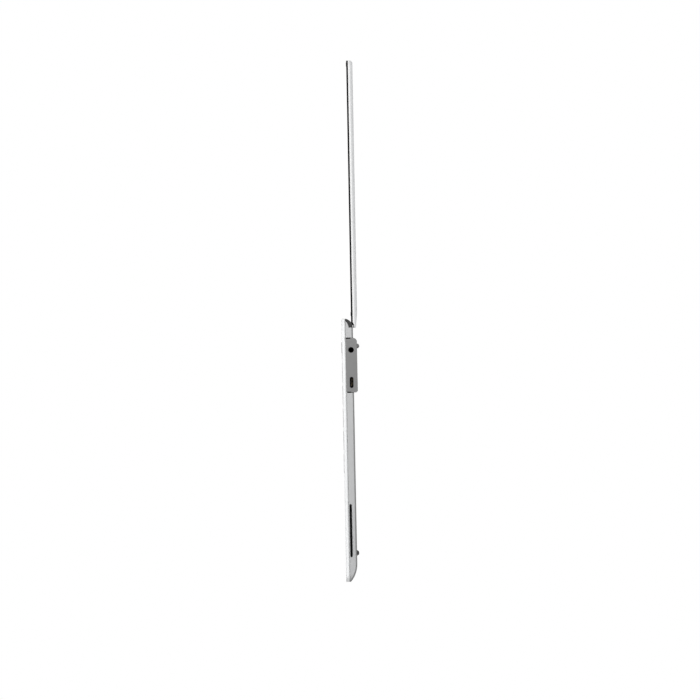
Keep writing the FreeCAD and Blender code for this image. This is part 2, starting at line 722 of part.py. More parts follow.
def plug_in_card(x, y, chips):
    """Small circuit card below the motherboard, with chips on its underside."""
    face = BOARD_Z - CARD_T
    card = box(x, y, (face, BOARD_Z))
    step = (x[1] - x[0]) / chips
    size = (y[1] - y[0]) / 2
    return card.multiFuse([box(span(x[0] + step * (number + 0.5), step * 0.7), span(sum(y) / 2, size),
                               (face - CARD_CHIP_T, face)) for number in range(chips)])


CARD_FRONT = BOARD_Y[0] + CARDS_FRONT
RADIO_X = span(BOARD_X[1] - RADIO_INSET, RADIO_W)


def ssd_module():
    right = RADIO_X[0] - SSD_GAP
    return plug_in_card((right - SSD_L, right), (CARD_FRONT, CARD_FRONT + SSD_W), 2)


def wireless_card():
    return plug_in_card(RADIO_X, (CARD_FRONT, CARD_FRONT + RADIO_L), 1)


def heat_pipe():
    """Flattened pipe from the processor to the rear, then along below the fins."""
    end = FAN_X - FIN_PITCH * FIN_COUNT / 2 - PIPE_PAST
    reach = box(span(CHIP_X, PIPE_W), (CHIP_Y - CHIP_D / 2 + PIPE_PAST, PIPE_Y + PIPE_W / 2), PIPE_Z)
    pipe = reach.fuse(box((end, CHIP_X + PIPE_W / 2), span(PIPE_Y, PIPE_W), PIPE_Z)).removeSplitter()
    corner = [e for e in upright_edges(pipe)
              if abs(e.CenterOfMass.x - CHIP_X) < PIPE_W and e.CenterOfMass.y > PIPE_Y - PIPE_W]
    return pipe.makeFillet(PIPE_BEND, corner)


def heat_sink_fins():
    """Row of thin plates that stand on the heat pipe, in front of the rear vents."""
    z = (PIPE_Z[1], PIPE_Z[1] + FIN_H)
    y = (PIPE_Y - FIN_FRONT, PIPE_Y + FIN_REAR)
    return group(box(span(FAN_X + FIN_PITCH * (number - FIN_COUNT // 2), FIN_T), y, z)
                 for number in range(FIN_COUNT))


def fan_housing():
    """Tray with a round chamber, open towards the fins, and an axle for the rotor."""
    reach = FAN_R + FAN_WALL
    z = (FLOOR_IN, FLOOR_IN + FAN_H)
    air = (z[0] + FAN_FLOOR, z[1])
    tray = box(grown((FAN_X, FAN_X), reach), grown((FAN_Y, FAN_Y), reach), z)
    outlet = box(grown((FAN_X, FAN_X), FAN_R - FAN_WALL), (FAN_Y, FAN_Y + reach), air)
    axle = rod_z(FAN_X, FAN_Y, (z[0], z[1] - FAN_AXLE_DROP), FAN_AXLE_R + FAN_CLEAR)
    holes = intake_slots((z[0], air[0]), INTAKE_L).cut(axle)
    tray = tray.cut(rod_z(FAN_X, FAN_Y, air, FAN_R)).cut(outlet).cut(holes)
    return tray.fuse(rod_z(FAN_X, FAN_Y, (z[0], z[1] - FAN_AXLE_DROP), FAN_AXLE_R))


def fan_rotor():
    """Hub with slanted blades and a bore for the axle."""
    z = (FLOOR_IN + FAN_FLOOR + FAN_CLEAR, FLOOR_IN + FAN_H - FAN_FLOOR)
    hub = rod_z(FAN_X, FAN_Y, z, HUB_R)
    blade = box((HUB_R - 1, FAN_R - FAN_WALL / 2), span(0, BLADE_T), (z[0] + FAN_CLEAR, z[1]))
    blade.rotate(V(HUB_R - 1, 0, 0), Z_AXIS, BLADE_SLANT)
    blades = []
    for number in range(BLADES):
        turned = blade.copy()
        turned.rotate(ORIGIN, Z_AXIS, 360 / BLADES * number)
        turned.translate(V(FAN_X, FAN_Y, 0))
        blades.append(turned)
    bore = rod_z(FAN_X, FAN_Y, (z[0], z[1] - FAN_CAP), FAN_AXLE_R + SHAFT_FIT)
    return hub.multiFuse(blades).cut(bore)


def battery_cells():
    return group(slab(span(CELL_PITCH * number, CELL_W), CELL_Y, (FLOOR_IN, FLOOR_IN + CELL_T), CELL_R)
                 for number in (-1.5, -0.5, 0.5, 1.5))


def battery_frame():
    """Flat rim with bars that holds the cells in place on the bottom cover."""
    z = (FLOOR_IN, FLOOR_IN + CELL_T - HOLDER_DROP)
    inner_x = grown(span(0, 4 * CELL_PITCH - CELL_GAP), HOLDER_FIT)
    inner_y = grown(CELL_Y, HOLDER_FIT)
    rim = box(grown(inner_x, HOLDER_W), grown(inner_y, HOLDER_D), z).cut(box(inner_x, inner_y, z))
    bars = [box(span(CELL_PITCH * number, CELL_GAP - HOLDER_FIT), grown(inner_y, HOLDER_FIT), z)
            for number in (-1, 0, 1)]
    posts = group(rod_z(x, y, (FLOOR_IN, CEILING), BOSS_R + BOSS_CLEAR) for x, y in BOSSES)
    return rim.multiFuse(bars).cut(posts)


def hinge_bracket():
    """Right-hand bracket: a knuckle in the notch and a leaf that is fixed below the deck."""
    front = KEYBOARD_REAR + LEAF_CLEAR
    knuckle = rod_x(KNUCKLE_X, 0, 0, KNUCKLE_R)
    leaf = box(KNUCKLE_X, (front, 0), span(0, LEAF_T))
    seat = box(KNUCKLE_X, (front, ARC_Y - WALL), (LEAF_T / 2, CEILING))
    bracket = knuckle.multiFuse([leaf, seat]).cut(rod_x(KNUCKLE_X, 0, 0, SHAFT_R + SHAFT_FIT))
    edge = box(EVERYWHERE, (0, FAR), EVERYWHERE).cut(HINGE_OUTLINE)
    return bracket.cut(edge)


def hinge_shaft():
    return rod_x((COVER_X[0], KNUCKLE_X[1]), 0, 0, SHAFT_R)


def hinge_arm():
    """Sleeve on the shaft with a neck down into the lid and a plate under the lid frame."""
    low = FRAME_Z - ARM_T
    sleeve = rod_x(SLEEVE_X, 0, 0, SLEEVE_R)
    neck = box(SLEEVE_X, ARM_NECK_Y, (low, 0))
    plate = box(SLEEVE_X, (ARM_NECK_Y[0], POCKET_REAR + ARM_REACH), (low, FRAME_Z))
    return sleeve.multiFuse([neck, plate]).cut(rod_x(SLEEVE_X, 0, 0, SHAFT_R))


def hinge_cover_space():
    """Outside of the hinge cover: a round knuckle with a neck into the lid."""
    neck = box(COVER_X, (-NECK_FRONT, 0), (FRAME_Z, 0))
    return rod_x(COVER_X, 0, 0, KNUCKLE_R).fuse(neck).common(HINGE_OUTLINE)


def hinge_cover():
    core = rod_x(SLEEVE_X, 0, 0, SLEEVE_R).fuse(box(SLEEVE_X, ARM_NECK_Y, (FRAME_Z, 0)))
    return hinge_cover_space().cut(core).cut(rod_x(COVER_X, 0, 0, SHAFT_R))


def lid_solid():
    """Outside of the whole lid, lying flat behind the base."""
    lid = box((-HALF_W, HALF_W), (-LID_TAIL, BASE_FRONT), (LID_BACK, LID_FACE))
    lid = lid.makeFillet(LID_PLAN_R, [e for e in upright_edges(lid) if e.CenterOfMass.y > 0])
    back = min(lid.Faces, key=lambda face: face.CenterOfMass.z)
    sides = [e for e in back.Edges if e.CenterOfMass.y > BORDER - LID_TAIL]
    lid = lid.makeFillet(FRAME_Z - LID_BACK - BORDER, sides)
    slope = LID_TAPER / LID_TAPER_RUN
    start = LID_TAPER_RUN - LID_TAIL
    taper = polygon([(start, LID_BACK), (start - FAR, LID_BACK + FAR * slope), (start - FAR, -FAR),
                     (start, -FAR)])
    hollow = rod_x(EVERYWHERE, ARC_Y, ARC_Z, REAR_R + TAIL_GAP)
    return lid.cut(prism_x(taper, EVERYWHERE)).cut(hollow)


LID = lid_solid()
TAIL_LINING = rod_x(EVERYWHERE, ARC_Y, ARC_Z, REAR_R + TAIL_GAP + TAIL_SKIN)
HINGE_COVERS = both(hinge_cover_space())
GLASS_X = grown((-HALF_W, HALF_W), -GLASS_MARGIN)
GLASS_Y = (GLASS_REAR, BASE_FRONT - GLASS_MARGIN)
PANEL_X = grown((-HALF_W, HALF_W), -PANEL_MARGIN)
PANEL_Y = (PANEL_REAR, BASE_FRONT - PANEL_TOP_MARGIN)
CAMERA_SPACE = box(span(0, CAMERA_W), span(CAMERA_Y, CAMERA_D), (FRAME_Z, BEZEL_Z))


def lid_layer(low, high):
    return LID.common(box(EVERYWHERE, EVERYWHERE, (low, high)))


def panel_space(low, high, margin):
    return box(grown(PANEL_X, margin), grown(PANEL_Y, margin), (low, high))


def microphone_rods(z, radius):
    return both(rod_z(MICROPHONE_X, CAMERA_Y, z, radius))


def display_bezel():
    """Black rim round the glass that also lines the hollowed tail of the lid."""
    rim = lid_layer(BEZEL_Z, LID_FACE).fuse(lid_layer(FRAME_Z, BEZEL_Z).common(TAIL_LINING))
    rim = rim.cut(slab(grown(GLASS_X, BORDER), grown(GLASS_Y, BORDER), (GLASS_BACK, LID_FACE), GLASS_R))
    rim = rim.cut(panel_space(BEZEL_Z, GLASS_BACK, BORDER))
    z = (BEZEL_Z, LID_FACE)
    rim = rim.cut(rod_z(0, CAMERA_Y, z, CAMERA_R)).cut(microphone_rods(z, MICROPHONE_HOLE_R))
    return rim.cut(HINGE_COVERS).removeSplitter()


def display_glass():
    return slab(GLASS_X, GLASS_Y, (GLASS_BACK, LID_FACE), GLASS_R - BORDER)


def display_panel():
    return panel_space(PANEL_BACK, GLASS_BACK, 0)


def lid_frame():
    """White frame between the bezel and the back cover, with a ledge behind the panel."""
    frame = lid_layer(FRAME_Z, BEZEL_Z).cut(TAIL_LINING)
    frame = frame.cut(panel_space(PANEL_BACK, BEZEL_Z, BORDER))
    frame = frame.cut(panel_space(FRAME_Z, BEZEL_Z, -PANEL_LEDGE))
    pockets = microphone_rods((BEZEL_Z - MICROPHONE_T, BEZEL_Z), MICROPHONE_R)
    return frame.cut(CAMERA_SPACE).cut(pockets).cut(HINGE_COVERS)


def lid_back_cover():
    """Shallow tray with rounded edges, and channels for the hinge arms."""
    tray = lid_layer(LID_BACK, FRAME_Z)
    pocket = slab(grown((-HALF_W, HALF_W), -LID_RIM), (POCKET_REAR, BASE_FRONT - LID_RIM),
                  (LID_FLOOR, FRAME_Z), LID_POCKET_R)
    channel = box(SLEEVE_X, (ARM_NECK_Y[0], POCKET_REAR), (FRAME_Z - ARM_T, FRAME_Z))
    return tray.cut(pocket).cut(both(channel))


def webcam_module():
    return CAMERA_SPACE


def webcam_lens():
    return rod_z(0, CAMERA_Y, (BEZEL_Z, LID_FACE - 2 * BORDER), CAMERA_R)


def microphones():
    return microphone_rods((BEZEL_Z - MICROPHONE_T, BEZEL_Z), MICROPHONE_R)


def antennas():
    x = (HALF_W - ANTENNA_X - ANTENNA_W, HALF_W - ANTENNA_X)
    y = (BASE_FRONT - LID_RIM - 2 * CAMERA_R - ANTENNA_D, BASE_FRONT - LID_RIM - 2 * CAMERA_R)
    return both(box(x, y, (LID_FLOOR, FRAME_Z)))


def lid_bumpers():
    """Soft dots that keep the closed lid off the deck."""
    dots = []
    for y in (CAMERA_Y, BUMPER_REAR):
        dots += both(rod_z(HALF_W - BUMPER_INSET, y, (LID_FACE, LID_FACE + BUMPER_T), BUMPER_R)).Solids
    return group(dots)


def foot(x, y, depth, z, height):
    """Rubber bar along X below height z, with a domed underside and rounded ends."""
    crown = height + FOOT_FLAT
    radius = (depth ** 2 / 4 + crown ** 2) / (2 * crown)
    dome = rod_x(x, y, z - crown + radius, radius)
    return dome.common(slab(x, span(y, depth), (z - crown, z), depth / 2 - BORDER))


def front_feet():
    x = (HALF_W - FRONT_FOOT_SIDE - FRONT_FOOT_W, HALF_W - FRONT_FOOT_SIDE)
    return both(foot(x, FRONT_FOOT_Y, FRONT_FOOT_D, BOTTOM_Z, FRONT_FOOT_H))


def rear_feet():
    x = (HALF_W - REAR_FOOT_INSET - REAR_FOOT_W, HALF_W - REAR_FOOT_INSET)
    return both(foot(x, REAR_FOOT_Y, REAR_FOOT_D, BLOCK_Z, REAR_FOOT_H))


def bottom_screws():
    """Sunk screws from the bottom cover into the posts of the top case."""
    screws = []
    for x, y in BOSSES:
        head = rod_z(x, y, (BOTTOM_Z + SCREW_SUNK, FLOOR_IN), SCREW_HEAD_R)
        recess = rod_z(x, y, (BOTTOM_Z, BOTTOM_Z + SCREW_RECESS), SCREW_RECESS_R)
        shank = rod_z(x, y, (FLOOR_IN, FLOOR_IN + SCREW_L), SCREW_R)
        screws.append(head.fuse(shank).cut(recess))
    return group(screws)


SINGLE = (top_case, side_frame, rear_corners, bottom_cover, rear_spine, port_block_right, port_block_left,
          audio_jack, card_reader, speaker_meshes, keyboard_plate, touchpad, touchpad_frame, power_button,
          motherboard, processor, memory_chips, ssd_module, wireless_card, heat_pipe, heat_sink_fins,
          fan_housing, fan_rotor, battery_cells, battery_frame, display_bezel, display_glass, display_panel,
          lid_frame, lid_back_cover, webcam_module, webcam_lens, microphones, antennas, lid_bumpers,
          front_feet, rear_feet, bottom_screws)
PAIRED = (usb_port, speaker, hinge_bracket, hinge_shaft, hinge_arm, hinge_cover)


def pieces():
    """Every piece by its name, in the flat frame."""
    named = {name: key_row(cells) for name, cells in KEY_ROWS.items()}
    for maker in SINGLE:
        named[maker.__name__] = maker()
    for maker in PAIRED:
        shape = maker()
        named[maker.__name__ + "_right"] = shape
        named[maker.__name__ + "_left"] = mirrored(shape)
    return named


def on_floor(shape):
    """The shape tipped onto the feet, with what would sink into the floor cut flat."""
    placed = shape.copy()
    placed.rotate(ORIGIN, X_AXIS, math.degrees(TILT))
    placed.translate(V(0, 0, AXIS_Z))
    if placed.BoundBox.ZMin < 0:
        placed = placed.cut(box(EVERYWHERE, EVERYWHERE, (-FAR, 0)))
    return placed


os.makedirs("parts", exist_ok=True)
for name, shape in pieces().items():
    on_floor(shape).exportStep("parts/" + name + ".step")
print("hinge axis height", round(AXIS_Z, 4), "tilt in degrees", round(math.degrees(TILT), 4))
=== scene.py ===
"""Looks of a slim laptop computer, opened flat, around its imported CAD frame."""

import json
import math

import bmesh
import bpy
from mathutils import Matrix, Vector


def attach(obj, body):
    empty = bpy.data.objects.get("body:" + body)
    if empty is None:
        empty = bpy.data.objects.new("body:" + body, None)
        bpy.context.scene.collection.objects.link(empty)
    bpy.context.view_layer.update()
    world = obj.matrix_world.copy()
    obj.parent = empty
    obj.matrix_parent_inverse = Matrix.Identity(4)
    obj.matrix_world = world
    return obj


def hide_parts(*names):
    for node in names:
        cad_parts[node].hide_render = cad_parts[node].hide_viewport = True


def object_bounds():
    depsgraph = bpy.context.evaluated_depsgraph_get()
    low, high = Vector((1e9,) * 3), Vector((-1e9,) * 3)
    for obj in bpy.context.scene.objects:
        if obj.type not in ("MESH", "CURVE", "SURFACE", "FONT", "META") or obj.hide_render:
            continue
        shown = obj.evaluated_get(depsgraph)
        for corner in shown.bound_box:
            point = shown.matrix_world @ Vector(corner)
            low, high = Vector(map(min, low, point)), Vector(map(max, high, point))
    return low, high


MM = 0.001

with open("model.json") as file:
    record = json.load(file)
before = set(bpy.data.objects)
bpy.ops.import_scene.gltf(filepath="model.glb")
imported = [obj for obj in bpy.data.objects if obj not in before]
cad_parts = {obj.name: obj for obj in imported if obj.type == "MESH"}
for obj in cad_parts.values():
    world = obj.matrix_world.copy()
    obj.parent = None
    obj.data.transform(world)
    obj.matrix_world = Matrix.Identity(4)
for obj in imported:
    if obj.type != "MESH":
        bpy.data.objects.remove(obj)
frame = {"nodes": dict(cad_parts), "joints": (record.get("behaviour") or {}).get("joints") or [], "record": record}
NODES = frame["nodes"]
JOINTS = {joint["name"]: joint for joint in frame["joints"]}
MOUNTS = {mount["name"]: mount for mount in frame["record"]["mounts"]}
CAD_BOX = [list(corner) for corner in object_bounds()]

# The base is tipped on its feet: FLAT takes a point from the deck's own level frame into the scene
HINGE_HEIGHT = JOINTS["lid_hinge"]["pos_m"][2]
TILT = math.asin(JOINTS["home_keys_press"]["axis"][1])
FLAT = Matrix.Translation((0, 0, HINGE_HEIGHT)) @ Matrix.Rotation(TILT, 4, "X")
LEVEL = FLAT.inverted()

# Camera of the photograph: level with the right-hand side, rolled so that the lid points up
VIEW_SPAN = 570.5 * MM
VIEW_DISTANCE = 1.0
VIEW_Y = -23.4 * MM
VIEW_Z = 7.5 * MM
VIEW_END = 100.0            # far limit of the view

# Key caps: a rounded edge, then a rim that sinks into a shallow dish
KEY_EDGE = 0.35 * MM
KEY_RIM = 1.3 * MM
KEY_DISH = 0.14 * MM
KEY_CORNER = 1.5 * MM
KEY_CORNER_LEAST = 0.3 * MM
CORNER_TAPER = 0.6          # how fast a corner's radius shrinks as the outline moves in
CORNER_STEPS = 5
RIM_START = 1.3             # inset where the rim starts, as a share of KEY_EDGE
RIM_DROP = 0.03             # its drop, as a share of KEY_DISH
DISH_STEPS = (0.35, 0.7, 1.0)       # inset past the rim's start, in shares of KEY_RIM
# Inset and drop of the rounded edge, in shares of KEY_EDGE
EDGE_CURVE = ((0.0, 1.0), (0.1, 0.45), (0.3, 0.13), (0.75, 0.0))

# Legends
LETTER_SIZE = 4.4 * MM
WORD_SIZE = 2.7 * MM
LETTER_T = 0.02 * MM
LETTER_STEPS = 3
ARROW_SIZE = 1.5 * MM
ARROW_TURNS = (90, 180, 270, 0)

# Screen: its area, which starts at SCREEN_LOW from the hinge axis, then grey levels
SCREEN_W = 293.8 * MM
SCREEN_H = 165.2 * MM
SCREEN_LOW = 31.0 * MM
SCREEN_GREYS = (33, 38)
BORDER_GREY = 16

# Port contacts
CONTACT_W = 0.25 * MM
CONTACT_PITCH = 0.5 * MM
CONTACT_L = 3.2 * MM
CONTACT_T = 0.06 * MM
CONTACTS = 12
TONGUE_T = 0.7 * MM
TONGUE_BACK = 2.2 * MM      # from the mouth of the port to the contacts

# Screw sockets
ROUND_STEPS = 36
SOCKET_R = 0.6 * MM
SOCKET_LOBE = 0.12 * MM
SOCKET_LOBES = 6
SOCKET_DEEP = 0.35 * MM     # from a screw's head to the floor of its recess

# Webcam
RING_W = 0.6 * MM
RING_SECTION = ((0.0, -1), (1.0, -1), (1.0, 1), (0.8, 2), (0.2, 2), (0.0, 1))   # in RING_W and LETTER_T
LENS_SUNK = 0.1 * MM
LIGHT_APART = 6.0 * MM
LIGHT_R = 0.45 * MM

# Floor: a pale patch under the object that fades to white from FLOOR_NEAR to FLOOR_FAR
FLOOR_HALF = 8.0            # half its width
FLOOR_DROP = 0.05 * MM
FLOOR_COLOUR = (0.85, 0.85, 0.85, 1.0)
FLOOR_GLOW = 0.62           # share of white under the object
FLOOR_NEAR = 0.22
FLOOR_FAR = 0.4

# Light: the level of the surroundings, then each lamp's place, target, size and power
WORLD_LEVEL = 0.36
LAMPS = {
    "top_light": ((0.35, 0.2, 1.5), (0, 0, 0), 1.4, 12.0),
    "side_light": ((1.3, 0.45, 0.35), (0.15, 0.05, 0), 0.6, 5.4),
}

# Patterns of the surfaces: scales of the textures, per metre
MOTTLE_SCALE = 55.0
GLOSS_SCALE = 160.0
SMUDGE_SCALE = 28.0
CREASE_SCALE = 140.0
TRACE_SCALE = 260.0
PAD_SCALE = 420.0

# Patterns of the surfaces: strengths and limits
SPECKLE = 0.5               # most that the grain darkens the tone
GLOSS_CHANGE = 0.05
GRAIN_DEPTH = 0.25          # as a share of the grain's size
CREASE_DEPTH = 0.3 * MM
TRACE_WIDTH = 0.035
PAD_EDGE = (0.16, 0.2)      # distance from a pad's middle where it starts and stops fading
EDGE_SAMPLES = 4
EDGE_BEND = (0.9, 0.995)    # agreement of the rounded and the true normal, on an edge and off it


# Colours
def srgb(level, tint=(1.0, 1.0, 1.0)):
    """Linear colour of a grey level from 0 to 255, with an optional tint."""
    value = level / 255
    linear = value / 12.92 if value <= 0.04045 else ((value + 0.055) / 1.055) ** 2.4
    return tuple(linear * part for part in tint) + (1.0,)


def scaled(colour, share):
    """A colour made darker or lighter, no lighter than white."""
    return tuple(min(part * share, 1.0) for part in colour[:3]) + (1.0,)


WHITE = (1.0, 1.0, 1.0, 1.0)
COOL = (0.985, 0.993, 1.0)
BLUISH = (0.92, 0.96, 1.0)
COPPER = (0.55, 0.25, 0.13, 1.0)
GOLD = (0.72, 0.52, 0.22, 1.0)
AMBER = (0.5, 0.33, 0.12, 1.0)
SOLDER = (0.62, 0.55, 0.36, 1.0)
BOARD_DARK = (0.012, 0.075, 0.032, 1.0)
BOARD_GREEN = (0.016, 0.1, 0.045, 1.0)
BOARD_TRACE = (0.06, 0.24, 0.1, 1.0)


# Shader nodes
def new_material(name):
    """Empty material, with its node tree and its shader."""
    material = bpy.data.materials.new(name)
    material.use_nodes = True
    return material, material.node_tree, material.node_tree.nodes["Principled BSDF"]


def add_node(tree, kind, **constants):
    """Shader node with constants on its inputs; an underscore in a name stands for a space."""
    node = tree.nodes.new("ShaderNode" + kind)
    for name, value in constants.items():
        node.inputs[name.replace("_", " ")].default_value = value
    return node


def maths(tree, operation, *sources, kind="Math"):
    """Value worked out from numbers and outputs of other nodes."""
    node = add_node(tree, kind)
    node.operation = operation
    for socket, source in zip(node.inputs, sources):
        if isinstance(source, float):
            socket.default_value = source
        else:
            tree.links.new(source, socket)
    return node.outputs["Value"]


def object_place(tree):
    """Coordinates in the object's own space."""
    return add_node(tree, "TexCoord").outputs["Object"]


def noise(tree, scale, detail=3.0, roughness=0.55):
    """Noise in the object's own space, with scale in cycles per metre."""
    node = add_node(tree, "TexNoise", Scale=scale, Detail=detail, Roughness=roughness)
    tree.links.new(object_place(tree), node.inputs["Vector"])
    return node.outputs["Fac"]


def spread(tree, source, low, high, start=0.3, end=0.7):
    """A value that runs from low to high as source goes from start to end."""
    node = add_node(tree, "MapRange", From_Min=start, From_Max=end, To_Min=low, To_Max=high)
    tree.links.new(source, node.inputs["Value"])
    return node.outputs["Result"]


def mix_colour(tree, factor, first, second):
    """Mix of two colours; each is a constant or an output of another node."""
    node = add_node(tree, "Mix")
    node.data_type = "RGBA"
    tree.links.new(factor, node.inputs["Factor"])
    for name, colour in (("A", first), ("B", second)):
        socket = next(s for s in node.inputs if s.name == name and s.type == "RGBA")
        if isinstance(colour, tuple):
            socket.default_value = colour
        else:
            tree.links.new(colour, socket)
    return next(s for s in node.outputs if s.type == "RGBA")


def mix_shaders(tree, factor, first, second):
    """Mix of two shaders, from the first at 0 to the second at 1."""
    node = add_node(tree, "MixShader")
    for socket, source in zip(node.inputs, (factor, first, second)):
        tree.links.new(source, socket)
    return node.outputs[0]


def bumps(tree, height, strength, depth):
    """Node that tilts the surface's normal by a pattern of heights."""
    node = add_node(tree, "Bump", Strength=strength, Distance=depth)
    tree.links.new(height, node.inputs["Height"])
    return node


def edges(tree, radius):
    """Rounded normal, and a value that is near 1 where the surface bends sharply within radius."""
    bevel = add_node(tree, "Bevel", Radius=radius)
    bevel.samples = EDGE_SAMPLES
    rounded = bevel.outputs["Normal"]
    true = add_node(tree, "NewGeometry").outputs["Normal"]
    agreement = maths(tree, "DOT_PRODUCT", rounded, true, kind="VectorMath")
    return rounded, spread(tree, agreement, 1.0, 0.0, *EDGE_BEND)


def between(tree, source, low, high):
    """1 where a value lies between low and high, else 0."""
    above = maths(tree, "GREATER_THAN", source, low)
    below = maths(tree, "LESS_THAN", source, high)
    return maths(tree, "MULTIPLY", above, below)


def seen_directly(tree):
    """1 for camera, mirror and see-through rays, 0 for the rest."""
    rays = add_node(tree, "LightPath").outputs
    seen = maths(tree, "MAXIMUM", rays["Is Camera Ray"], rays["Is Glossy Ray"])
    return maths(tree, "MAXIMUM", seen, rays["Is Transmission Ray"])


# Materials
def surface(name, colour, roughness, metallic=0.0, mottle=0.04, grain=0.12 * MM, bump=0.15,
            edge=0.0, edge_radius=0.25 * MM, edge_tone=1.35, shine=0.5):
    """Material with broad mottling, fine grain, uneven gloss and, with edge, another tone along edges; an
    edge_tone under 1 is painted shade on rounded edges, one over 1 makes the edges lighter.
    """
    material, tree, shader = new_material(name + "_finish")
    shader.inputs["Metallic"].default_value = metallic
    shader.inputs["Specular IOR Level"].default_value = shine
    dark, light = scaled(colour, 1 - mottle), scaled(colour, 1 + mottle)
    fine = noise(tree, 1.0 / grain, 2.0)
    tone = mix_colour(tree, spread(tree, noise(tree, MOTTLE_SCALE), 0.0, 1.0), dark, light)
    tone = mix_colour(tree, spread(tree, fine, 0.0, SPECKLE), tone, dark)
    relief = bumps(tree, fine, bump, grain * GRAIN_DEPTH)
    if edge:
        rounded, edge_shade_and_lightening = edges(tree, edge_radius)
        tree.links.new(rounded, relief.inputs["Normal"])
        # Painted shade along rounded edges where edge_tone is under 1; lighter edges where it is over 1
        tone = mix_colour(tree, spread(tree, edge_shade_and_lightening, 0.0, edge, 0.0, 1.0), tone, scaled(colour, edge_tone))
    gloss_limits = roughness - GLOSS_CHANGE, roughness + GLOSS_CHANGE
    gloss = spread(tree, noise(tree, GLOSS_SCALE, 4.0), *gloss_limits)
    tree.links.new(tone, shader.inputs["Base Color"])
    tree.links.new(relief.outputs["Normal"], shader.inputs["Normal"])
    tree.links.new(gloss, shader.inputs["Roughness"])
    return material


def screen_material():
    """Black cover glass, faintly smudged: a lighter, switched-off screen within a printed border."""
    material, tree, shader = new_material("screen_glass_finish")
    shader.inputs["Specular IOR Level"].default_value = 0.25
    shader.inputs["Coat Weight"].default_value = 0.15
    shader.inputs["Coat Roughness"].default_value = 0.03
    shader.inputs["IOR"].default_value = 1.5
    axes = add_node(tree, "SeparateXYZ")
    tree.links.new(object_place(tree), axes.inputs["Vector"])
    across = between(tree, axes.outputs["X"], -SCREEN_W / 2, SCREEN_W / 2)
    along = between(tree, axes.outputs["Y"], SCREEN_LOW, SCREEN_LOW + SCREEN_H)
    inside = maths(tree, "MULTIPLY", across, along)
    smudge = noise(tree, SMUDGE_SCALE, 5.0)
    clean, smudged = (srgb(grey, BLUISH) for grey in SCREEN_GREYS)
    pixels = mix_colour(tree, spread(tree, smudge, 0.0, 1.0), clean, smudged)
    tree.links.new(mix_colour(tree, inside, srgb(BORDER_GREY), pixels), shader.inputs["Base Color"])
    tree.links.new(spread(tree, smudge, 0.07, 0.16), shader.inputs["Roughness"])
    return material


def board_material():
    """Green circuit board with traces and a scatter of solder pads."""
    material, tree, shader = new_material("circuit_board_finish")
    traces = add_node(tree, "TexBrick", Scale=TRACE_SCALE, Mortar_Size=TRACE_WIDTH,
                      Color1=BOARD_DARK, Color2=BOARD_GREEN, Mortar=BOARD_TRACE)
    dots = add_node(tree, "TexVoronoi", Scale=PAD_SCALE)
    for pattern in (traces, dots):
        tree.links.new(object_place(tree), pattern.inputs["Vector"])
    away = dots.outputs["Distance"]
    pads = spread(tree, away, 1.0, 0.0, *PAD_EDGE)
    tree.links.new(mix_colour(tree, pads, traces.outputs["Color"], SOLDER), shader.inputs["Base Color"])
    tree.links.new(spread(tree, away, 0.25, 0.5, 0.1, 0.5), shader.inputs["Roughness"])
    return material


def foil_material():
    """Wrinkled dark foil of the battery cells."""
    material = surface("cell", srgb(92), 0.42, metallic=0.4, mottle=0.12, grain=0.4 * MM)
    tree = material.node_tree
    creases = bumps(tree, noise(tree, CREASE_SCALE, 6.0, 0.7), 0.35, CREASE_DEPTH)
    tree.links.new(creases.outputs["Normal"], tree.nodes["Principled BSDF"].inputs["Normal"])
    return material


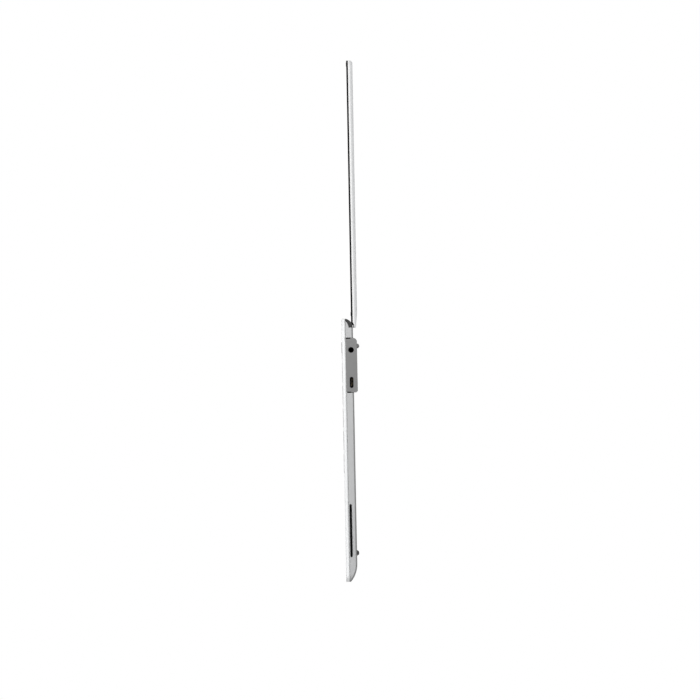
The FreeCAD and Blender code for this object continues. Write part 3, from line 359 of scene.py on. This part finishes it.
# Colour, roughness and further settings of each finish
FINISHES = {
    # An edge_tone under 1 (white_case, silver_wall, grey_block, button, pad) is painted shade along rounded edges
    "white_case": (srgb(252, COOL), 0.45,
                   dict(metallic=0.05, mottle=0.01, edge=1.0, edge_radius=1.6 * MM, edge_tone=0.68)),
    "silver_wall": (srgb(190, COOL), 0.42,
                    dict(metallic=0.3, mottle=0.03, edge=0.9, edge_radius=0.5 * MM, edge_tone=0.9)),
    "grey_cover": (srgb(128), 0.48, dict(metallic=0.25, edge=0.15)),
    "grey_block": (srgb(131), 0.45,
                   dict(metallic=0.25, edge=0.5, edge_radius=0.6 * MM, edge_tone=0.72)),
    # dark_plastic also colours the dark crescent at the base's rear corners, which is painted shade of the rounded
    # rear edge
    "dark_plastic": (srgb(62), 0.55, dict(mottle=0.1, grain=0.2 * MM, bump=0.25, shine=0.2)),
    "black_plastic": (srgb(14), 0.6, dict(mottle=0.15, grain=0.18 * MM, bump=0.2, shine=0.05)),
    "port_metal": (srgb(26), 0.5, dict(metallic=0.2, mottle=0.1, grain=0.3 * MM, shine=0.1)),
    "mesh": (srgb(10), 0.6, dict(mottle=0.2, shine=0.1)),
    "keys": (srgb(62, COOL), 0.5, dict(mottle=0.06, grain=0.1 * MM, bump=0.3, shine=0.3)),
    "button": (srgb(135, COOL), 0.4, dict(metallic=0.3, mottle=0.02, edge=0.4, edge_tone=0.8)),
    "pad": (srgb(226, COOL), 0.35,
            dict(mottle=0.015, grain=0.08 * MM, bump=0.06, edge=0.6, edge_tone=0.8)),
    "sheet_metal": (srgb(110), 0.45, dict(metallic=0.5, mottle=0.08)),
    "chip": (srgb(45), 0.4, dict(mottle=0.12, grain=0.25 * MM)),
    "copper": (COPPER, 0.3, dict(metallic=0.9, mottle=0.15, grain=0.6 * MM)),
    "fin": (srgb(196), 0.35, dict(metallic=0.7, mottle=0.06)),
    "hinge_steel": (srgb(96), 0.35, dict(metallic=0.7, mottle=0.08, edge=0.2)),
    # Lighter than the rubber itself: painted light, so that the feet in the base's shade render lighter
    "rubber": (srgb(188), 0.75, dict(mottle=0.08, grain=0.25 * MM, bump=0.3)),
    "screw": (srgb(104), 0.35, dict(metallic=0.7, mottle=0.1)),
    "lid_white": (srgb(250), 0.45, dict(mottle=0.01, grain=0.15 * MM)),
    "lid_back": (srgb(222, COOL), 0.45, dict(metallic=0.2, mottle=0.02)),
    "panel": (srgb(40), 0.5, dict(mottle=0.1)),
    "antenna": (AMBER, 0.45, dict(mottle=0.12)),
    "legend": (srgb(205), 0.5, dict(mottle=0.03)),
    "contact": (GOLD, 0.28, dict(metallic=0.9, mottle=0.06)),
}
MATERIALS = {name: surface(name, colour, roughness, **more)
             for name, (colour, roughness, more) in FINISHES.items()}
MATERIALS["screen_glass"] = screen_material()
MATERIALS["circuit_board"] = board_material()
MATERIALS["cell"] = foil_material()


def dress_nodes():
    """Give each CAD node the finish of its material slot."""
    for entry in frame["record"]["subparts"]:
        for material_slot in NODES[entry["node"]].material_slots:
            material_slot.material = MATERIALS[entry["material_slot"]]


# Mesh building, in the deck's level frame
def add_piece(name, bm, material, body, replaced=()):
    """New object from a bmesh, riding on a body."""
    bmesh.ops.recalc_face_normals(bm, faces=bm.faces)
    mesh = bpy.data.meshes.new(name)
    bm.to_mesh(mesh)
    bm.free()
    mesh.materials.append(MATERIALS[material])
    piece = bpy.data.objects.new(name, mesh)
    bpy.context.scene.collection.objects.link(piece)
    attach(piece, body)
    if replaced:
        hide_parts(*replaced)


def skin(bm, lower, upper, smooth):
    """Strip of faces between two closed rings of as many points."""
    count = len(lower)
    for i in range(count):
        j = (i + 1) % count
        bm.faces.new((lower[i], lower[j], upper[j], upper[i])).smooth = smooth


def loft(bm, loops, smooth=True):
    """Closed skin through loops of points, each with the same count, capped at both ends."""
    rings = [[bm.verts.new(point) for point in loop] for loop in loops]
    for lower, upper in zip(rings, rings[1:]):
        skin(bm, lower, upper, smooth)
    bm.faces.new(list(reversed(rings[0])))
    bm.faces.new(rings[-1])


def in_scene(x, y, z):
    """A point of the deck's level frame, taken into the scene."""
    return FLAT @ Vector((x, y, z))


def rounded_loop(low, high, radius, height):
    """Rounded rectangle between two corners."""
    points = []
    corners = ((high.x, high.y, 0), (low.x, high.y, 90), (low.x, low.y, 180), (high.x, low.y, 270))
    for x, y, turn in corners:
        centre_x = x - radius if x == high.x else x + radius
        centre_y = y - radius if y == high.y else y + radius
        for step in range(CORNER_STEPS + 1):
            angle = math.radians(turn + 90 * step / CORNER_STEPS)
            points.append(in_scene(centre_x + radius * math.cos(angle),
                                   centre_y + radius * math.sin(angle), height))
    return points


def round_loop(centre, radius, height, steps=ROUND_STEPS, turn=0.0, lobe=0.0):
    """Circle, or a polygon of few steps, with the lobes of a screw socket where asked for."""
    points = []
    for step in range(steps):
        angle = turn + 2 * math.pi * step / steps
        reach = radius + lobe * math.cos(SOCKET_LOBES * angle)
        points.append(in_scene(centre.x + reach * math.cos(angle),
                               centre.y + reach * math.sin(angle), height))
    return points


def block(bm, low, high):
    """Box between two corners."""
    outline = ((low[0], low[1]), (high[0], low[1]), (high[0], high[1]), (low[0], high[1]))
    loft(bm, [[in_scene(x, y, z) for x, y in outline] for z in (low[2], high[2])], smooth=False)


def islands(node):
    """Boxes (low, high) of a node's separate solids, rear row first and each row from the left."""
    bm = bmesh.new()
    bm.from_mesh(NODES[node].data)
    bmesh.ops.remove_doubles(bm, verts=bm.verts, dist=0.001 * MM)
    boxes = []
    left = set(bm.verts)
    while left:
        front = [left.pop()]
        seen = []
        while front:
            vert = front.pop()
            seen.append(LEVEL @ vert.co)
            for edge in vert.link_edges:
                other = edge.other_vert(vert)
                if other in left:
                    left.discard(other)
                    front.append(other)
        boxes.append((Vector(map(min, *seen)), Vector(map(max, *seen))))
    bm.free()
    return sorted(boxes, key=lambda box: (-round(box[1].y, 4), box[0].x))


# Keyboard
LABELS = {
    "function_keys": ["esc"] + ["F%d" % number for number in range(1, 13)] + ["del"],
    "number_keys": list("`1234567890-=") + ["back"],
    "upper_keys": ["tab"] + list("QWERTYUIOP[]\\"),
    "home_keys": ["caps"] + list("ASDFGHJKL;'") + ["enter"],
    "lower_keys": ["shift"] + list("ZXCVBNM,./") + ["shift"],
    "bottom_keys": ["ctrl", "fn", "", "alt", "alt", "ctrl"],
}


def cap_profile(foot, top):
    """Insets and heights of a key cap's outline, from its foot to its dish."""
    profile = [(0.0, foot)]
    profile += [(inset * KEY_EDGE, top - drop * KEY_EDGE) for inset, drop in EDGE_CURVE]
    profile.append((RIM_START * KEY_EDGE, top - RIM_DROP * KEY_DISH))
    for share in DISH_STEPS:
        drop = KEY_DISH * math.sin(share * math.pi / 2)
        profile.append((RIM_START * KEY_EDGE + share * KEY_RIM, top - drop))
    return profile


def key_caps(node):
    """Soft-edged caps with a shallow dish, over the solids of one row of keys."""
    bm = bmesh.new()
    for low, high in islands(node):
        loops = []
        for inset, height in cap_profile(low.z, high.z):
            margin = Vector((inset, inset, 0))
            radius = max(KEY_CORNER - CORNER_TAPER * inset, KEY_CORNER_LEAST)
            loops.append(rounded_loop(low + margin, high - margin, radius, height))
        loft(bm, loops)
    add_piece(node + "_caps", bm, "keys", node, [node])


def letter_mesh(label):
    """Thin flat word, centred on the origin."""
    curve = bpy.data.curves.new("legend", "FONT")
    curve.body = label
    curve.size = LETTER_SIZE if len(label) == 1 else WORD_SIZE
    curve.align_x = "CENTER"
    curve.align_y = "CENTER"
    curve.extrude = LETTER_T
    curve.resolution_u = LETTER_STEPS
    holder = bpy.data.objects.new("legend", curve)
    mesh = bpy.data.meshes.new_from_object(holder)
    bpy.data.objects.remove(holder)
    bpy.data.curves.remove(curve)
    return mesh


def key_letters(node):
    """Thin printed legends on one row of keys."""
    bm = bmesh.new()
    for label, (low, high) in zip(LABELS[node], islands(node)):
        if not label:
            continue
        mesh = letter_mesh(label)
        centre = (low + high) / 2
        mesh.transform(FLAT @ Matrix.Translation((centre.x, centre.y, high.z - KEY_DISH)))
        bm.from_mesh(mesh)
        bpy.data.meshes.remove(mesh)
    add_piece(node + "_letters", bm, "legend", node)


def arrow_signs():
    """Small triangles on the arrow keys."""
    bm = bmesh.new()
    for turn, (low, high) in zip(ARROW_TURNS, islands("arrow_keys")):
        face = high.z - KEY_DISH
        loft(bm, [round_loop((low + high) / 2, ARROW_SIZE, height, 3, math.radians(turn))
                  for height in (face - LETTER_T, face + LETTER_T)], smooth=False)
    add_piece("arrow_keys_signs", bm, "legend", "arrow_keys")


# Ports, screws and webcam
def port_contacts(side):
    """Gold strips on both faces of the tongue of one USB-C port."""
    mouth = LEVEL @ Vector(MOUNTS["usb_c_" + side]["pos_m"])
    inward = -1 if mouth.x > 0 else 1
    near, far = sorted((mouth.x + inward * TONGUE_BACK, mouth.x + inward * (TONGUE_BACK + CONTACT_L)))
    bm = bmesh.new()
    for number in range(CONTACTS):
        y = mouth.y + (number - (CONTACTS - 1) / 2) * CONTACT_PITCH
        for face in (-1, 1):
            z = mouth.z + face * TONGUE_T / 2
            block(bm, (near, y - CONTACT_W / 2, z - CONTACT_T), (far, y + CONTACT_W / 2, z + CONTACT_T))
    add_piece("usb_contacts_" + side, bm, "contact", "base")


def screw_socket_shade():
    """Dark six-lobed discs on the floors of the recesses in the heads of the bottom screws: painted shade of the
    sockets.
    """
    bm = bmesh.new()
    for low, high in islands("bottom_screws"):
        seat = low.z + SOCKET_DEEP
        loft(bm, [round_loop((low + high) / 2, SOCKET_R, height, lobe=SOCKET_LOBE)
                  for height in (seat - 2 * LETTER_T, seat + LETTER_T)], smooth=False)
    add_piece("screw_socket_shade", bm, "mesh", "base")


def webcam_trim():
    """Thin ring round the camera's lens, with a small indicator light beside it."""
    low, high = islands("webcam_lens")[0]
    centre = (low + high) / 2
    reach = (high.x - low.x) / 2
    face = high.z + LENS_SUNK
    bm = bmesh.new()
    loops = [round_loop(centre, reach + out * RING_W, face + up * LETTER_T) for out, up in RING_SECTION]
    rings = [[bm.verts.new(point) for point in loop] for loop in loops]
    for inner, outer in zip(rings, rings[1:] + rings[:1]):
        skin(bm, inner, outer, smooth=True)
    add_piece("webcam_ring", bm, "hinge_steel", "lid")
    bm = bmesh.new()
    spot = centre + Vector((LIGHT_APART, 0, 0))
    loft(bm, [round_loop(spot, LIGHT_R, face + height) for height in (-LETTER_T, LETTER_T)], smooth=False)
    add_piece("webcam_light", bm, "legend", "lid")


# Floor, light and camera
def floor_material():
    """Pale floor that keeps the shadow, turns white away from the object and is clear from below."""
    material, tree, shader = new_material("floor_finish")
    shader.inputs["Base Color"].default_value = FLOOR_COLOUR
    shader.inputs["Roughness"].default_value = 0.9
    shader.inputs["Specular IOR Level"].default_value = 0.1
    away = maths(tree, "LENGTH", object_place(tree), kind="VectorMath")
    whiteness = spread(tree, away, FLOOR_GLOW, 1.0, FLOOR_NEAR, FLOOR_FAR)
    glow = add_node(tree, "Emission").outputs[0]
    share = maths(tree, "MULTIPLY", seen_directly(tree), whiteness)
    above = mix_shaders(tree, share, shader.outputs[0], glow)
    from_below = add_node(tree, "NewGeometry").outputs["Backfacing"]
    clear = add_node(tree, "BsdfTransparent").outputs[0]
    output = tree.nodes["Material Output"]
    tree.links.new(mix_shaders(tree, from_below, above, clear), output.inputs["Surface"])
    return material


def floor():
    """Wide plane just under the feet."""
    corners = ((-1, -1), (1, -1), (1, 1), (-1, 1))
    mesh = bpy.data.meshes.new("floor")
    points = [(x * FLOOR_HALF, y * FLOOR_HALF, -FLOOR_DROP) for x, y in corners]
    mesh.from_pydata(points, [], [(0, 1, 2, 3)])
    mesh.materials.append(floor_material())
    plane = bpy.data.objects.new("floor", mesh)
    bpy.context.scene.collection.objects.link(plane)


def world_light():
    """White surroundings: full white where seen, a plain level where they light the object."""
    world = bpy.data.worlds.new("studio")
    bpy.context.scene.world = world
    world.use_nodes = True
    tree = world.node_tree
    background = tree.nodes["Background"]
    background.inputs["Color"].default_value = WHITE
    strength = spread(tree, seen_directly(tree), WORLD_LEVEL, 1.0, 0.0, 1.0)
    tree.links.new(strength, background.inputs["Strength"])


def lamp(name, place, target, size, power):
    """Square soft light at a place, turned to a target."""
    light = bpy.data.lights.new(name, "AREA")
    light.shape = "SQUARE"
    light.size = size
    light.energy = power
    holder = bpy.data.objects.new(name, light)
    holder.location = place
    holder.rotation_euler = (Vector(target) - Vector(place)).to_track_quat("-Z", "Y").to_euler()
    bpy.context.scene.collection.objects.link(holder)


def camera():
    """Parallel view of the right-hand side."""
    data = bpy.data.cameras.new("photo_camera")
    data.type = "ORTHO"
    data.ortho_scale = VIEW_SPAN
    data.clip_end = VIEW_END
    holder = bpy.data.objects.new("photo_camera", data)
    side = CAD_BOX[1][0]
    axes = Matrix(((0, 0, 1), (0, 1, 0), (-1, 0, 0)))
    holder.matrix_world = Matrix.Translation((side + VIEW_DISTANCE, VIEW_Y, VIEW_Z)) @ axes.to_4x4()
    bpy.context.scene.collection.objects.link(holder)
    bpy.context.scene.camera = holder


dress_nodes()
for row in list(LABELS) + ["space_bar", "arrow_keys"]:
    key_caps(row)
for row in LABELS:
    key_letters(row)
arrow_signs()
for side in ("right", "left"):
    port_contacts(side)
screw_socket_shade()
webcam_trim()

floor()
world_light()
for name, settings in LAMPS.items():
    lamp(name, *settings)
camera()
bpy.context.scene.view_settings.view_transform = "Standard"
